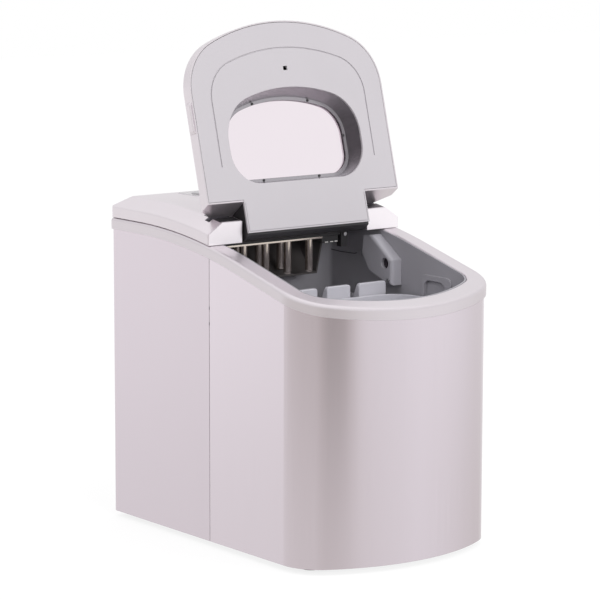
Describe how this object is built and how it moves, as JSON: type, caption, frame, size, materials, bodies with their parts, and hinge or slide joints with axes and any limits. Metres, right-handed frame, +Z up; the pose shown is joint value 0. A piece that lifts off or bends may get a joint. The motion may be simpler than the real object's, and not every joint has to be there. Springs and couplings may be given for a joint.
{
  "type": "countertop ice maker",
  "caption": "Countertop ice maker with a hinged window lid, lift-out ice basket, tipping water tray, coupled ice shovel and a control panel on the rear cover.",
  "frame": {"origin": "on the floor under the middle of the casing", "axes": "+Z up, the front faces -Y, +X to the right seen from the front"},
  "size_m": [0.244, 0.358, 0.5142],
  "materials": {
    "silver_plastic": "satin moulded plastic, metallic silver",
    "painted_shell": "satin silver paint on steel sheet",
    "brushed_wrap": "vertical brushed steel sheet",
    "panel_grey": "fine satin",
    "grey_plastic": "fine satin",
    "liner_plastic": "satin",
    "frame_dark": "satin",
    "tray_plastic": "satin",
    "black_plastic": "fine grain",
    "panel_film": "silver gloss membrane",
    "button_silver": "gloss",
    "sensor_black": "gloss",
    "window_clear": "clear, gloss",
    "lens_clear": "gloss",
    "hose_clear": "satin translucent",
    "soft_rubber": "matte",
    "nickel": "plated, soft shine",
    "copper": "drawn copper",
    "screw_steel": "bright",
    "zinc_steel": "galvanised sheet",
    "fin_aluminium": "satin",
    "compressor_black": "gloss black",
    "board_green": "solder mask",
    "foam_white": "bead foam"
  },
  "bodies": {
    "casing": {"base_plate": "zinc_steel", "board_screws": "screw_steel", "bracket_screws": "screw_steel", "chamber_liner": "liner_plastic", "collar_rim": "silver_plastic", "compressor": "compressor_black", "compressor_grommets": "soft_rubber", "compressor_plate": "zinc_steel", "condenser": "fin_aluminium", "control_board": "board_green", "control_overlay": "panel_film", "copper_lines": "copper", "cord_gland": "black_plastic", "cover_ear": "black_plastic", "cover_screw": "screw_steel", "drain_hose": "hose_clear", "drain_port": "black_plastic", "evaporator_cover": "black_plastic", "evaporator_fingers": "nickel", "evaporator_plate": "nickel", "evaporator_stubs": "copper", "fan_motor": "black_plastic", "fan_shroud": "black_plastic", "filter_drier": "copper", "foam_jacket": "foam_white", "front_wrap_panel": "brushed_wrap", "gas_valve": "black_plastic", "hinge_pins": "screw_steel", "hinge_troughs": "frame_dark", "ice_sensor_lenses": "sensor_black", "indicator_lenses": "lens_clear", "left_sensor_bracket": "grey_plastic", "rear_screws": "screw_steel", "rear_shell": "painted_shell", "rear_top_cover": "silver_plastic", "right_sensor_bracket": "grey_plastic", "rubber_feet": "soft_rubber", "side_lap_strips": "zinc_steel", "suction_hose": "hose_clear", "supply_hose": "hose_clear", "tact_switches": "black_plastic", "terminal_box": "black_plastic", "tray_bush": "black_plastic", "tray_motor": "black_plastic", "water_pump": "black_plastic"},
    "lid": {"lid_outer_cover": "silver_plastic", "lid_inner_panel": "panel_grey", "window_frame": "frame_dark", "window_pane": "window_clear", "window_screws": "screw_steel", "hinge_barrel": "frame_dark"},
    "power_button": {"power_button": "button_silver"},
    "select_button": {"select_button": "button_silver"},
    "water_tray": {"water_tray": "tray_plastic", "tray_shafts": "screw_steel"},
    "ice_shovel": {"ice_shovel": "grey_plastic"},
    "ice_basket": {"ice_basket": "grey_plastic"},
    "fan_rotor": {"fan_rotor": "black_plastic"},
    "drain_cap": {"drain_cap": "black_plastic", "drain_seal": "soft_rubber"}
  },
  "joints": [
    {"name": "lid_hinge", "type": "hinge", "parent": "casing", "child": "lid", "pos_m": [0, 0.0153, 0.32053], "axis": [1, 0, 0], "range_deg": [0, 119.7]},
    {"name": "tray_tip", "type": "hinge", "parent": "casing", "child": "water_tray", "pos_m": [0, 0.045, 0.293], "axis": [-1, 0, 0], "range_deg": [0, 75]},
    {"name": "shovel_slide", "type": "slide", "parent": "casing", "child": "ice_shovel", "axis": [0, 1, 0], "range_m": [0, 0.03]},
    {"name": "basket_lift", "type": "slide", "parent": "casing", "child": "ice_basket", "axis": [0, 0, -1], "range_m": [-0.15, 0]},
    {"name": "power_press", "type": "slide", "parent": "casing", "child": "power_button", "axis": [0, 0, -1], "range_m": [0, 0.001], "stiffness_N_per_m": 600},
    {"name": "select_press", "type": "slide", "parent": "casing", "child": "select_button", "axis": [0, 0, -1], "range_m": [0, 0.001], "stiffness_N_per_m": 600},
    {"name": "fan_spin", "type": "hinge", "parent": "casing", "child": "fan_rotor", "pos_m": [-0.055, 0.129, 0.096], "axis": [0, 1, 0], "continuous": true},
    {"name": "drain_pull", "type": "slide", "parent": "casing", "child": "drain_cap", "axis": [0, 1, 0], "range_m": [0, 0.03]}
  ],
  "couplings": [
    {"joint": "shovel_slide", "follows": "tray_tip", "m_per_rad": 0.0229}
  ]
}
